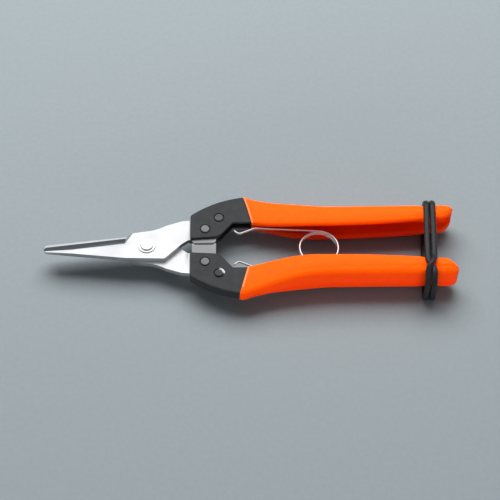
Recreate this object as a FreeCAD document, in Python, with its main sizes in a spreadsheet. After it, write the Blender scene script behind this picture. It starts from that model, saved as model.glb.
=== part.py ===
"""Floral snips: two flat blades crossing on a rivet, each riveted into a pressed steel
channel handle with a dipped soft grip, a wire spring between the handles and a rubber
loop that holds them shut.

Frame: millimetres, X runs from the blade tips to the ends of the handles, Y across the
handles and Z up. The snips lie flat and closed. The origin is under the middle of the
object, at the height of its lowest point, which is the loop's lower run.
The upper arm is the one on the +Y side, and carries the front blade; the lower arm is on
the -Y side and carries the rear blade. One function makes both arms: side is +1 or -1.
"""
import FreeCAD, Part
import math
import os

import Sketcher
from FreeCAD import Placement, Rotation, Vector

os.makedirs("parts", exist_ok=True)
doc = FreeCAD.newDocument("floral_snips")

# ---------------------------------------------------------------- driving dimensions
DIMENSIONS = {
    # heights
    "mid_plane": (9.0, "height of the plane where the two blades meet"),
    "blade_thick": (2.4, "thickness of a blade"),
    "blade_gap": (0.05, "half the gap between the blades' flat faces"),
    "steel_thick": (1.2, "thickness of the handle's pressed sheet"),
    "coat": (1.0, "thickness of the grip's soft coat"),
    "grip_height": (14.0, "height of a grip"),
    # pivot
    "pivot_x": (-44.5, "the pivot's place along the snips"),
    "pivot_shank": (2.4, "radius of the pivot rivet's shank"),
    "pivot_clearance": (0.05, "radial clearance of a blade on the shank"),
    "pivot_head": (2.85, "radius of the pivot rivet's head"),
    "pivot_head_high": (0.75, "height of the pivot rivet's head"),
    "washer_radius": (3.8, "outer radius of a pivot washer"),
    "washer_thick": (0.45, "thickness of a pivot washer"),
    # blade outline, from the tip to the handle
    "tip_x": (-87.6, "where the rounded tip starts"),
    "tip_spine_y": (-2.35, "spine at the tip"),
    "tip_edge_y": (1.3, "cutting edge at the tip"),
    "tip_round": (1.86, "radius of the rounded tip"),
    "heel_x": (-54.0, "end of the cutting edge"),
    "heel_y": (5.5, "end of the cutting edge"),
    "shoulder_x": (-50.7, "top of the shoulder behind the cutting edge"),
    "shoulder_y": (6.5, "top of the shoulder behind the cutting edge"),
    "flank_x": (-43.0, "outer flank, where it turns outwards"),
    "flank_y": (7.7, "outer flank, where it turns outwards"),
    "flank_round": (22.0, "radius of the turn in the outer flank"),
    "flare_x": (-36.5, "start of the flare to the handle"),
    "flare_y": (10.2, "start of the flare to the handle"),
    "tang_out_x": (-26.3, "outer flank at the handle"),
    "tang_out_y": (13.7, "outer flank at the handle"),
    "spine_bend_x": (-54.0, "spine, where it turns parallel to the snips"),
    "spine_bend_y": (-6.2, "spine, where it turns parallel to the snips"),
    "spine_end_x": (-38.2, "end of the spine"),
    "spine_end_y": (-6.7, "end of the spine"),
    "corner_round": (2.2, "radius of the corner behind the spine"),
    "corner_x": (-35.9, "start of the slanted rear edge"),
    "corner_y": (-5.8, "start of the slanted rear edge"),
    "gap_x": (-26.7, "end of the slanted rear edge"),
    "gap_y": (3.4, "end of the slanted rear edge"),
    "taper_x": (-77.0, "where the blade starts to thin towards the tip"),
    "tip_thick": (1.5, "thickness at the very tip"),
    "tip_end_x": (-91.0, "beyond the tip"),
    # ground bevel of the cutting edge
    "bevel_wide": (4.3, "width of the ground bevel"),
    # joggle, tang and stops
    "joggle_start": (-29.4, "where the blade starts to step to the middle"),
    "joggle_end": (-26.4, "where the tang has reached the middle"),
    "tang_end_x": (-9.2, "end of the tang inside the handle"),
    "tang_end_y": (20.6, "outer corner of the tang's end"),
    "tang_in_y": (11.6, "inner corner of the tang's end"),
    "tab_left": (-25.1, "front side of the stop tabs"),
    "tab_right": (-14.7, "rear side of the stop tabs"),
    "tab_root_y": (4.6, "where the stop tab leaves the tang"),
    "stop_y": (1.2, "the line where the two stop tabs meet"),
    "stop_gap": (0.3, "gap between the stop tabs"),
    "tab_cut": (1.6, "cut corner of the upper stop tab"),
    "tab_slope": (0.8, "chamfer along the upper stop tab's edge"),
    "horn": (0.8, "how far the lower stop tab's horns stand up"),
    "horn_wide": (0.6, "width of a horn at its top"),
    # cheek of the handle frame
    "cheek_front_x": (-25.8, "front edge of the cheek"),
    "cheek_in_y": (3.6, "inner front corner of the cheek"),
    "cheek_out_y": (16.2, "outer front corner of the cheek"),
    "cheek_back_x": (-14.6, "where the inner edge turns outwards"),
    "cheek_back_y": (4.3, "where the inner edge turns outwards"),
    "cheek_round": (6.0, "radius of that turn"),
    "cheek_turn_x": (-12.3, "end of that turn"),
    "cheek_turn_y": (5.7, "end of that turn"),
    "notch_x": (-7.4, "corner of the notch for the spring"),
    "notch_y": (11.6, "corner of the notch for the spring"),
    "back_round": (46.0, "radius of the handle's back over the cheek"),
    "peak_x": (-3.2, "widest place of the handle's back"),
    "peak_y": (25.6, "widest place of the handle's back, in steel"),
    "flare_start": (-4.6, "where the channel starts to grow taller"),
    "flare_end": (29.0, "where the channel has its full height"),
    # grip outline, measured on the soft coat
    "coat_start_out": (-3.8, "front edge of the coat at the back"),
    "coat_start_in": (0.2, "front edge of the coat at the inner edge"),
    "coat_stagger": (0.9, "how much farther back the upper grip starts, and the lower one ahead"),
    "coat_in_y": (11.1, "inner edge of the grip at its front"),
    "waist_out_x": (34.6, "slimmest place, outer line"),
    "waist_out_y": (18.6, "slimmest place, outer line"),
    "waist_round": (110.0, "radius of the back between the peak and the waist"),
    "waist_in_x": (30.0, "slimmest place, inner line"),
    "waist_in_y": (7.6, "slimmest place, inner line"),
    "belly_front": (120.0, "radius of the inner line before the waist"),
    "belly_back": (520.0, "radius of the inner line behind the waist"),
    "heel_out_x": (86.6, "outer line at the end of the grip"),
    "heel_out_y": (18.7, "outer line at the end of the grip"),
    "end_small_round": (2.0, "radius of the outer rear corner"),
    "end_x": (88.6, "end of the grip"),
    "end_y": (16.9, "where the end's two radii meet"),
    "end_big_round": (7.5, "radius of the inner rear corner"),
    "heel_in_x": (81.4, "inner line at the end of the grip"),
    "heel_in_y": (10.2, "inner line at the end of the grip"),
    "seat_x": (77.4, "middle of the loop's seat"),
    "seat_wide": (6.4, "width of the loop's seat"),
    "seat_deep": (0.3, "depth of the loop's seat"),
    # handle rivets
    "rivet_shank": (1.5, "radius of a handle rivet's shank"),
    "rivet_head": (1.9, "radius of a handle rivet's head"),
    "rivet_high": (0.55, "height of a handle rivet's head"),
    "front_rivet_x": (-19.4, "front rivet of a handle"),
    "front_rivet_y": (8.5, "front rivet of a handle"),
    "rear_rivet_x": (-13.4, "rear rivet of a handle"),
    "rear_rivet_y": (14.4, "rear rivet of a handle"),
    # return spring
    "wire": (1.0, "diameter of the spring's wire"),
    "coil_x": (29.9, "middle of the coil"),
    "coil_radius": (8.35, "mean radius of the coil"),
    "coil_pitch": (1.1, "rise of one turn"),
    "coil_turns": (2.5, "turns of the coil"),
    "leg_x": (2.4, "end of the straight leg"),
    "leg_y": (10.0, "end of the straight leg"),
    "leg_high": (0.55, "how far the end of a leg lies above or below the blades' plane"),
    "leg_bend": (3.0, "bend at the end of the straight leg"),
    "hook_bend": (2.0, "bend of the hook"),
    "hook_x": (-4.9, "bottom of the hook"),
    "hook_y": (6.7, "bottom of the hook"),
    "hook_end_x": (-6.8, "end of the wire"),
    "hook_end_y": (8.4, "end of the wire"),
    "droop": (2.2, "angle by which the coil hangs below the hooks, in degrees"),
    # lock loop
    "loop_cord": (2.2, "thickness of the loop"),
    "loop_band": (5.4, "width of the loop's two strands side by side"),
    "loop_slack": (0.1, "gap between the loop and the grips"),
    "loop_upper": (0.3, "gap beside the upper grip"),
    "loop_lower": (2.4, "gap beside the lower grip, where it bulges"),
    "loop_corner": (0.6, "inner corner radius of the loop"),
    "cross_near": (-9.5, "end of the place where one strand passes over the other"),
    "cross_far": (-20.0, "start of that place"),
    "cross_high": (1.5, "how much the upper strand rises there"),
    "cross_slope": (3.4, "length of the rise at each end of that place"),
}

sheet = doc.addObject("Spreadsheet::Sheet", "dims")
for row, (alias, (number, note)) in enumerate(DIMENSIONS.items(), start=1):
    sheet.set(f"A{row}", note)
    sheet.set(f"B{row}", str(number))
    sheet.setAlias(f"B{row}", alias)
doc.recompute()


class Size:
    """A number together with the spreadsheet expression that gives it."""

    def __init__(self, number, text):
        self.number, self.text = number, text

    def __add__(self, other):
        other = size(other)
        return Size(self.number + other.number, f"({self.text} + {other.text})")

    def __sub__(self, other):
        other = size(other)
        return Size(self.number - other.number, f"({self.text} - {other.text})")

    def __mul__(self, factor):
        return Size(self.number * factor, f"({self.text} * {factor})")

    def __neg__(self):
        return self * -1


def size(thing):
    return thing if isinstance(thing, Size) else Size(thing, f"({thing})")


class Dims:
    """dim.name is the driving dimension of that name."""

    def __getattr__(self, alias):
        return Size(getattr(sheet, alias), f"dims.{alias}")


dim = Dims()
half_blade = dim.blade_thick * 0.5
cheek_half = half_blade + dim.steel_thick
grip_half = dim.grip_height * 0.5
steel_half = grip_half - dim.coat
wall = dim.coat + dim.steel_thick + dim.coat
WIDE = 120.0  # longer than anything here, for tools that cut right through
FLAT = Rotation()
UPRIGHT = Rotation(Vector(1, 0, 0), 90)  # sketch X, Y become X, Z
ACROSS = Rotation(Vector(1, 1, 1), 120)  # sketch X, Y become Y, Z


# ---------------------------------------------------------------- sketch and solid helpers
def arc_between(start, end, radius):
    """The short arc from start to end. A positive radius bulges to the right of the way."""
    way = end - start
    aside = Vector(way.y, -way.x, 0).normalize()
    depth = math.sqrt(radius * radius - (way.Length / 2) ** 2)
    centre = (start + end) * 0.5 - aside * math.copysign(depth, radius)
    first, last = (start, end) if radius > 0 else (end, start)
    angles = [math.atan2(p.y - centre.y, p.x - centre.x) for p in (first, last)]
    circle = Part.Circle(centre, Vector(0, 0, 1), abs(radius))
    return Part.ArcOfCircle(circle, angles[0], angles[1])


def outline(name, corners, turn=FLAT, at=(0, 0, 0)):
    """A closed sketch. A corner is (x, y), or (x, y, radius) where an arc leads to it."""
    drawing = doc.addObject("Sketcher::SketchObject", name)
    drawing.Placement = Placement(Vector(*[size(a).number for a in at]), turn)
    for axis, place in zip("xyz", at):
        if isinstance(place, Size):
            drawing.setExpression(f".Placement.Base.{axis}", place.text)
    corners = [tuple(size(part) for part in corner) for corner in corners]
    points = [Vector(c[0].number, c[1].number, 0) for c in corners]
    starts, ends, radii = [], [], []
    for index, point in enumerate(points):
        target = (index + 1) % len(points)
        if len(corners[target]) == 3:
            radius = corners[target][2]
            drawing.addGeometry(arc_between(point, points[target], radius.number), False)
            forward = radius.number > 0
            radii.append((index, radius if forward else -radius))
        else:
            drawing.addGeometry(Part.LineSegment(point, points[target]), False)
            forward = True
        starts.append(1 if forward else 2)
        ends.append(2 if forward else 1)
    for index in range(len(points)):
        before = index - 1 if index else len(points) - 1
        joint = Sketcher.Constraint("Coincident", before, ends[before], index, starts[index])
        drawing.addConstraint(joint)
    for index, corner in enumerate(corners):
        for kind, place in (("DistanceX", corner[0]), ("DistanceY", corner[1])):
            value = Sketcher.Constraint(kind, -1, 1, index, starts[index], place.number)
            number = drawing.addConstraint(value)
            drawing.setExpression(f"Constraints[{number}]", place.text)
    for index, radius in radii:
        number = drawing.addConstraint(Sketcher.Constraint("Radius", index, radius.number))
        drawing.setExpression(f"Constraints[{number}]", radius.text)
    return drawing


def extruded(name, drawing, length, along):
    """The solid that the sketch sweeps, half its length to each side."""
    solid = doc.addObject("Part::Extrusion", name)
    solid.Base = drawing
    solid.DirMode = "Custom"
    solid.Dir = Vector(*along)
    solid.Solid = True
    solid.Symmetric = True
    solid.setExpression("LengthFwd", size(length).text)
    return solid


def common(name, *shapes):
    both = doc.addObject("Part::MultiCommon", name)
    both.Shapes = list(shapes)
    return both


def fused(name, *shapes):
    whole = doc.addObject("Part::MultiFuse", name)
    whole.Shapes = list(shapes)
    whole.Refine = True
    return whole


def cut(name, base, tool):
    rest = doc.addObject("Part::Cut", name)
    rest.Base, rest.Tool = base, tool
    rest.Refine = True
    return rest


def cylinder(name, radius, x, y, height):
    """An upright cylinder about the blades' plane, for a hole or a pin."""
    rod = doc.addObject("Part::Cylinder", name)
    rod.setExpression("Radius", size(radius).text)
    rod.setExpression("Height", size(height).text)
    rod.setExpression(".Placement.Base.x", size(x).text)
    rod.setExpression(".Placement.Base.y", size(y).text)
    rod.setExpression(".Placement.Base.z", (dim.mid_plane - size(height) * 0.5).text)
    return rod


def rounded(name, base, radius, chosen):
    """The base with a fillet on each edge that chosen(edge) accepts."""
    doc.recompute()
    smooth = doc.addObject("Part::Fillet", name)
    smooth.Base = base
    numbers = [n for n, edge in enumerate(base.Shape.Edges, start=1) if chosen(edge)]
    smooth.Edges = [(n, radius.number, radius.number) for n in numbers]
    return smooth


def middle(edge):
    return edge.valueAt((edge.FirstParameter + edge.LastParameter) / 2)


# ---------------------------------------------------------------- blades
def blade(name, side):
    """A flat blade with its tang. The rear one is the front one turned over about X."""
    mid = dim.mid_plane
    outer = half_blade * 2  # distance of the blade's outer face from the blades' plane

    def level(distance):
        return mid + distance * side

    strip = outline(f"{name}_side", [
        (dim.tip_end_x, level(dim.blade_gap)),
        (dim.joggle_start, level(dim.blade_gap)),
        (dim.joggle_end, level(-half_blade)),
        (dim.tang_end_x + 5, level(-half_blade)),
        (dim.tang_end_x + 5, level(half_blade)),
        (dim.joggle_end, level(half_blade)),
        (dim.joggle_start, level(outer)),
        (dim.taper_x, level(outer)),
        (dim.tip_end_x, level(dim.tip_thick)),
    ], UPRIGHT)
    plate = extruded(f"{name}_plate", strip, WIDE, (0, 1, 0))

    if side > 0:
        stop = dim.stop_y
        tab = [
            (dim.tab_right, dim.tab_root_y),
            (dim.tab_right, stop + dim.tab_cut),
            (dim.tab_right - dim.tab_cut, stop),
            (dim.tab_left + dim.tab_cut, stop),
            (dim.tab_left, stop + dim.tab_cut),
        ]
    else:
        stop = dim.stop_gap - dim.stop_y
        tab = [
            (dim.tab_right, dim.tab_root_y),
            (dim.tab_right, stop - dim.horn),
            (dim.tab_right - dim.horn_wide, stop - dim.horn),
            (dim.tab_right - dim.horn_wide - dim.horn, stop),
            (dim.tab_left + dim.horn_wide + dim.horn, stop),
            (dim.tab_left + dim.horn_wide, stop - dim.horn),
            (dim.tab_left, stop - dim.horn),
        ]
    corners = [
        (dim.tip_x, dim.tip_edge_y, -dim.tip_round),
        (dim.heel_x, dim.heel_y),
        (dim.shoulder_x, dim.shoulder_y),
        (dim.flank_x, dim.flank_y),
        (dim.flare_x, dim.flare_y, dim.flank_round),
        (dim.tang_out_x, dim.tang_out_y),
        (dim.tang_end_x, dim.tang_end_y, -dim.back_round),
        (dim.tang_end_x, dim.tang_in_y),
        *tab,
        (dim.tab_left, dim.gap_y),
        (dim.gap_x, dim.gap_y),
        (dim.corner_x, dim.corner_y),
        (dim.spine_end_x, dim.spine_end_y, -dim.corner_round),
        (dim.spine_bend_x, dim.spine_bend_y),
        (dim.tip_x, dim.tip_spine_y),
    ]
    corners = [(c[0], c[1] * side) + tuple(r * side for r in c[2:]) for c in corners]
    plan = outline(f"{name}_plan", corners, FLAT, (0, 0, mid))
    shape = common(f"{name}_blank", plate, extruded(f"{name}_cutter", plan, WIDE, (0, 0, 1)))

    # the ground bevel: three equal triangles, from beyond the tip to the shoulder
    rise = (dim.heel_y.number - dim.tip_edge_y.number) / (dim.heel_x.number - dim.tip_x.number)
    beyond = 6.0
    spill = 0.5  # how far the triangle passes the blade's faces, as a share of the bevel
    sections = []
    for number, (x, edge_y) in enumerate([
        (dim.tip_x - beyond, dim.tip_edge_y - beyond * rise),
        (dim.heel_x, dim.heel_y),
        (dim.shoulder_x, dim.shoulder_y + dim.bevel_wide),
    ]):
        low = (edge_y + dim.bevel_wide * spill, -(outer * spill))
        top = (edge_y - dim.bevel_wide * (1 + spill), outer * (1 + spill))
        far = (edge_y + dim.bevel_wide * (1 + spill), outer * (1 + spill))
        triangle = [(y * side, level(z)) for y, z in (low, top, far)]
        sections.append(outline(f"{name}_bevel_{number}", triangle, ACROSS, (x, 0, 0)))
    grind = doc.addObject("Part::Loft", f"{name}_grind")
    grind.Sections = sections
    grind.Solid = True
    grind.Ruled = True
    shape = cut(f"{name}_ground", shape, grind)

    holes = [cylinder(f"{name}_bore", dim.pivot_shank + dim.pivot_clearance, dim.pivot_x, 0, WIDE)]
    for place, (x, y) in RIVETS.items():
        holes.append(cylinder(f"{name}_{place}_hole", dim.rivet_shank, x, y * side, WIDE))
    shape = cut(f"{name}_drilled", shape, fused(f"{name}_holes", *holes))
    if side > 0:
        def stop_edge(edge):
            point = middle(edge)
            straight = abs(edge.BoundBox.YLength) < 0.01 and abs(edge.BoundBox.ZLength) < 0.01
            return straight and abs(point.y - dim.stop_y.number) < 0.01 and point.z > mid.number

        doc.recompute()
        slope = doc.addObject("Part::Chamfer", f"{name}_stop_slope")
        slope.Base = shape
        drop = dim.tab_slope.number
        slope.Edges = [
            (n, drop, drop) for n, edge in enumerate(shape.Shape.Edges, start=1) if stop_edge(edge)
        ]
        shape = slope
    shape.Label = name
    return shape


RIVETS = {
    "front_rivet": (dim.front_rivet_x, dim.front_rivet_y),
    "rear_rivet": (dim.rear_rivet_x, dim.rear_rivet_y),
}


# ---------------------------------------------------------------- handles
def s_curve(x_start, x_end, z_start, z_end):
    """Two equal arcs that join two levels smoothly: the corners after the first one."""
    run = x_end.number - x_start.number
    lift = z_end.number - z_start.number
    radius = (run * run + lift * lift) / (4 * abs(lift))
    bend = math.copysign(radius, lift * run)
    halfway = (x_start * 0.5 + x_end * 0.5, z_start * 0.5 + z_end * 0.5, bend)
    return [halfway, (x_end, z_end, -bend)]


def channel_side(name, low_half, high_half):
    """The channel's height along the handle, low at the cheek and high under the grip."""
    mid = dim.mid_plane
    front, back = dim.cheek_front_x - 5, dim.end_x + 5
    upper = s_curve(dim.flare_start, dim.flare_end, mid + low_half, mid + high_half)
    lower = s_curve(dim.flare_end, dim.flare_start, mid - high_half, mid - low_half)
    corners = [
        (front, mid - low_half),
        (front, mid + low_half),
        (dim.flare_start, mid + low_half),
        *upper,
        (back, mid + high_half),
        (back, mid - high_half),
        (dim.flare_end, mid - high_half),
        *lower,
    ]
    return outline(name, corners, UPRIGHT)


def back_line(inset):
    """The handle's back behind its peak, inset from the soft coat's surface."""
    return [
        (dim.waist_out_x, dim.waist_out_y - inset, dim.waist_round),
        (dim.heel_out_x, dim.heel_out_y - inset),
    ]


def handle_frame(name, side):
    """The pressed channel: back and two flanges, open towards the other handle."""
    coat = dim.coat
    outer = [
        (dim.cheek_front_x, dim.cheek_in_y),
        (dim.cheek_front_x, dim.cheek_out_y),
        (dim.peak_x, dim.peak_y, -dim.back_round),
        *back_line(coat),
        (dim.end_x - coat, dim.end_y, -(dim.end_small_round - coat * 0.5)),
        (dim.heel_in_x, dim.heel_in_y + coat, -dim.end_big_round),
        (dim.waist_in_x, dim.waist_in_y + coat, -dim.belly_back),
        (dim.coat_start_in, dim.notch_y, -dim.belly_front),
        (dim.notch_x, dim.notch_y),
        (dim.cheek_turn_x, dim.cheek_turn_y),
        (dim.cheek_back_x, dim.cheek_back_y, -dim.cheek_round),
    ]
    thick = dim.steel_thick
    hollow = [
        (dim.cheek_front_x - 4, -dim.cheek_in_y),
        (dim.cheek_front_x - 4, dim.cheek_out_y - thick - 2),
        (dim.cheek_front_x, dim.cheek_out_y - thick),
        (dim.peak_x, dim.peak_y - thick, -dim.back_round),
        *back_line(coat + thick),
        (dim.end_x + 6, dim.heel_out_y - coat - thick),
        (dim.end_x + 6, -dim.cheek_in_y),
    ]
    body = common(
        f"{name}_envelope",
        extruded(f"{name}_tall", plan_of(f"{name}_plan", outer, side), WIDE, (0, 0, 1)),
        extruded(f"{name}_long", channel_side(f"{name}_side", cheek_half, steel_half),
                 WIDE, (0, 1, 0)),
    )
    space = common(
        f"{name}_space",
        extruded(f"{name}_space_tall", plan_of(f"{name}_inner", hollow, side), WIDE, (0, 0, 1)),
        extruded(f"{name}_space_long",
                 channel_side(f"{name}_inside", half_blade, steel_half - thick),
                 WIDE, (0, 1, 0)),
    )
    tools = [space]
    for place, (x, y) in RIVETS.items():
        tools.append(cylinder(f"{name}_{place}_hole", dim.rivet_shank, x, y * side, WIDE))
    shape = cut(f"{name}_shape", body, fused(f"{name}_tools", *tools))
    shape.Label = name
    return shape


def plan_of(name, corners, side):
    """A plan sketch for the upper arm, or its mirror image for the lower one."""
    mirrored = [(c[0], c[1] * side) + tuple(r * side for r in c[2:]) for c in corners]
    return outline(name, mirrored, FLAT, (0, 0, dim.mid_plane))


def grip(name, side, frame):
    """The soft coat: outside, inside and over the flanges' free edges of the channel."""
    lead = dim.coat_stagger * side
    outer = [
        (dim.coat_start_out + lead, dim.peak_y + dim.coat),
        (dim.peak_x + lead, dim.peak_y + dim.coat),
        *back_line(size(0)),
        (dim.end_x, dim.end_y, -dim.end_small_round),
        (dim.heel_in_x, dim.heel_in_y, -dim.end_big_round),
        (dim.waist_in_x, dim.waist_in_y, -dim.belly_back),
        (dim.coat_start_in + lead, dim.coat_in_y, -dim.belly_front),
    ]
    hollow = [
        (dim.coat_start_out - 9, -dim.cheek_in_y),
        (dim.coat_start_out - 9, dim.peak_y + dim.coat - wall),
        (dim.peak_x, dim.peak_y + dim.coat - wall),
        *back_line(wall),
        (dim.end_x + 6, dim.heel_out_y - wall),
        (dim.end_x + 6, -dim.cheek_in_y),
    ]
    tall = extruded(f"{name}_tall", plan_of(f"{name}_plan", outer, side), WIDE, (0, 0, 1))
    long = extruded(f"{name}_long", grip_side(f"{name}_side"), WIDE, (0, 1, 0))
    body = common(f"{name}_envelope", tall, long)
    space = common(
        f"{name}_space",
        extruded(f"{name}_space_tall", plan_of(f"{name}_inner", hollow, side), WIDE, (0, 0, 1)),
        extruded(f"{name}_space_long",
                 channel_side(f"{name}_inside", half_blade, grip_half - wall),
                 WIDE, (0, 1, 0)),
    )
    shape = cut(f"{name}_hollow", body, fused(f"{name}_tools", space, frame))
    shape.Label = name
    return shape


def grip_side(name):
    """The grip's height along the handle, with the shallow seat that the loop lies in."""
    mid, half, low = dim.mid_plane, grip_half, cheek_half + dim.coat
    front, back = dim.flare_start - 3, dim.end_x + 5
    seat_front = dim.seat_x - dim.seat_wide * 0.5
    seat_back = dim.seat_x + dim.seat_wide * 0.5
    top, floor = mid + half, mid - half
    top_seat, floor_seat = top - dim.seat_deep, floor + dim.seat_deep
    slope = dim.seat_deep
    return outline(name, [
        (front, mid - low),
        (front, mid + low),
        (dim.flare_start, mid + low),
        *s_curve(dim.flare_start, dim.flare_end, mid + low, top),
        (seat_front - slope, top),
        (seat_front, top_seat),
        (seat_back, top_seat),
        (seat_back + slope, top),
        (back, top),
        (back, floor),
        (seat_back + slope, floor),
        (seat_back, floor_seat),
        (seat_front, floor_seat),
        (seat_front - slope, floor),
        (dim.flare_end, floor),
        *s_curve(dim.flare_end, dim.flare_start, floor, mid - low),
    ], UPRIGHT)


# ---------------------------------------------------------------- rivets and washers
def turned(name, corners, x, y):
    """A body of revolution about an upright axis at x, y. Corners are (radius, height)."""
    body = doc.addObject("PartDesign::Body", name)
    drawing = body.newObject("Sketcher::SketchObject", f"{name}_half")
    plane = [p for p in body.Origin.OriginFeatures if p.Role == "XZ_Plane"][0]
    drawing.AttachmentSupport = [(plane, "")]
    drawing.MapMode = "FlatFace"
    corners = [(size(r), size(z)) for r, z in corners]
    for index, (radius, height) in enumerate(corners):
        after = corners[(index + 1) % len(corners)]
        start = Vector(radius.number, height.number, 0)
        drawing.addGeometry(Part.LineSegment(start, Vector(after[0].number, after[1].number, 0)))
    for index, (radius, height) in enumerate(corners):
        before = index - 1 if index else len(corners) - 1
        drawing.addConstraint(Sketcher.Constraint("Coincident", before, 2, index, 1))
        for kind, place in (("DistanceX", radius), ("DistanceY", height)):
            value = Sketcher.Constraint(kind, -1, 1, index, 1, place.number)
            number = drawing.addConstraint(value)
            drawing.setExpression(f"Constraints[{number}]", place.text)
    spin = body.newObject("PartDesign::Revolution", f"{name}_spin")
    spin.Profile = drawing
    spin.ReferenceAxis = (drawing, ["V_Axis"])
    spin.Angle = 360
    body.setExpression(".Placement.Base.x", size(x).text)
    body.setExpression(".Placement.Base.y", size(y).text)
    body.setExpression(".Placement.Base.z", dim.mid_plane.text)
    body.Label = name
    return body


def handle_rivet(name, x, y):
    """A rivet through both flanges and the tang, with a low chamfered head each side."""
    shank, head, high = dim.rivet_shank, dim.rivet_head, dim.rivet_high
    face = cheek_half
    crown = face + high
    edge = high * 0.5
    return turned(name, [
        (0, -crown), (head - edge, -crown), (head, -crown + edge), (head, -face),
        (shank, -face), (shank, face), (head, face), (head, crown - edge),
        (head - edge, crown), (0, crown),
    ], x, y)


def pivot_rivet():
    """The pivot: a shank through both blades, headed over a washer at each end."""
    shank, head = dim.pivot_shank, dim.pivot_head
    seat = dim.blade_thick + dim.washer_thick
    crown = seat + dim.pivot_head_high
    edge = dim.pivot_head_high * 0.4
    return turned("pivot_rivet", [
        (0, -crown), (head - edge, -crown), (head, -crown + edge), (head, -seat),
        (shank, -seat), (shank, seat), (head, seat), (head, crown - edge),
        (head - edge, crown), (0, crown),
    ], dim.pivot_x, 0)


def pivot_washer(name, side):
    """The washer between a blade's outer face and the rivet's head."""
    inner, outer = dim.pivot_shank, dim.washer_radius
    near = dim.blade_thick + dim.blade_gap
    far = dim.blade_thick + dim.washer_thick
    edge = dim.washer_thick * 0.4
    corners = [(inner, near), (outer, near), (outer, far - edge), (outer - edge, far), (inner, far)]
    return turned(name, [(r, z * side) for r, z in corners], dim.pivot_x, 0)


# ---------------------------------------------------------------- spring and loop
def bent_wire(points, radii):
    """Straight runs through the points, with a round bend of the given radius at each."""
    edges, start = [], points[0]
    for before, point, after, radius in zip(points, points[1:], points[2:], radii):
        back, on = (before - point).normalize(), (after - point).normalize()
        half_turn = back.getAngle(on) / 2
        reach = radius / math.tan(half_turn)
        first, last = point + back * reach, point + on * reach
        inward = (back + on).normalize()
        crest = point + inward * (radius / math.sin(half_turn) - radius)
        edges += [Part.LineSegment(start, first).toShape(), Part.Arc(first, crest, last).toShape()]
        start = last
    edges.append(Part.LineSegment(start, points[-1]).toShape())
    return edges


def return_spring():
    """One wire: a leg and hook in each handle, and a coil of flat turns between them."""
    radius, pitch, centre = sheet.coil_radius, sheet.coil_pitch, Vector(sheet.coil_x, 0, 0)
    away = Vector(sheet.leg_x, sheet.leg_y, 0) - centre
    # where a straight leg touches the coil's circle, as an angle from the X axis
    touch = math.atan2(away.y, away.x) - math.acos(radius / away.Length)
    turned_by = 2 * math.pi * sheet.coil_turns - (math.pi - 2 * touch)
    rise = pitch * turned_by / (2 * math.pi)
    coil = Part.makeHelix(pitch, rise, radius)
    coil.rotate(Vector(), Vector(0, 0, 1), math.degrees(-touch))
    coil.translate(Vector(centre.x, 0, sheet.mid_plane - rise / 2))
    end_high = rise / 2

    def leg(side):
        """From the coil to the end of the wire, which lies nearer to the blades' plane."""
        start = Vector(math.cos(touch), side * math.sin(touch), 0) * radius + centre
        start.z = sheet.mid_plane + side * end_high
        corner = Vector(sheet.leg_x, side * sheet.leg_y, sheet.mid_plane + side * sheet.leg_high)
        hook = Vector(sheet.hook_x, side * sheet.hook_y, corner.z)
        finish = Vector(sheet.hook_end_x, side * sheet.hook_end_y, corner.z)
        return [start, corner, hook, finish]

    bends = (sheet.leg_bend, sheet.hook_bend)
    edges = bent_wire(leg(-1)[::-1], bends[::-1]) + coil.Edges + bent_wire(leg(1), bends)
    path = Part.Wire(edges)
    end = leg(-1)[::-1]
    ring = Part.makeCircle(sheet.wire / 2, end[0], end[1] - end[0])
    spring = doc.addObject("Part::Feature", "return_spring")
    wire = path.makePipeShell([Part.Wire(ring)], True, False)
    wire.rotate(Vector(sheet.hook_x, 0, sheet.mid_plane), Vector(0, 1, 0), sheet.droop)
    spring.Shape = wire
    spring.Label = "return_spring"
    return spring


def loop_outline(name, gap):
    """A rounded rectangle about both grips, seen along the handles."""
    half = grip_half + dim.loop_slack - dim.seat_deep + gap
    low, high = dim.mid_plane - half, dim.mid_plane + half
    left = -(dim.waist_out_y + 0.3 + dim.loop_lower + gap)
    right = dim.waist_out_y + 0.3 + dim.loop_upper + gap
    bend = dim.loop_corner + gap
    return outline(name, [
        (left + bend, low, bend), (right - bend, low),
        (right, low + bend, bend), (right, high - bend),
        (right - bend, high, bend), (left + bend, high),
        (left, high - bend, bend), (left, low + bend),
    ], ACROSS, (dim.seat_x, 0, 0))


def lock_loop():
    """The rubber loop about both grips: a closed band as wide as its two strands."""
    outside = extruded("loop_outside", loop_outline("loop_outer", dim.loop_cord),
                       dim.loop_band, (1, 0, 0))
    inside = extruded("loop_inside", loop_outline("loop_inner", size(0)), WIDE, (1, 0, 0))
    roof = dim.mid_plane + grip_half + dim.loop_slack - dim.seat_deep + dim.loop_cord
    ridge = outline("loop_ridge", [
        (dim.cross_far, roof - dim.loop_cord * 0.5),
        (dim.cross_far, roof),
        (dim.cross_far + dim.cross_slope, roof + dim.cross_high),
        (dim.cross_near - dim.cross_slope, roof + dim.cross_high),
        (dim.cross_near, roof),
        (dim.cross_near, roof - dim.loop_cord * 0.5),
    ], ACROSS, (dim.seat_x, 0, 0))
    crossing = extruded("loop_crossing", ridge, dim.loop_cord, (1, 0, 0))
    band = fused("loop_band", cut("loop_rings", outside, inside), crossing)
    softness = dim.loop_cord * 0.35
    shape = rounded("lock_loop_shape", band, softness, lambda edge: abs(
        abs(middle(edge).x - dim.seat_x.number) - dim.loop_band.number / 2) < 0.01)
    shape.Label = "lock_loop"
    return shape


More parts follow.
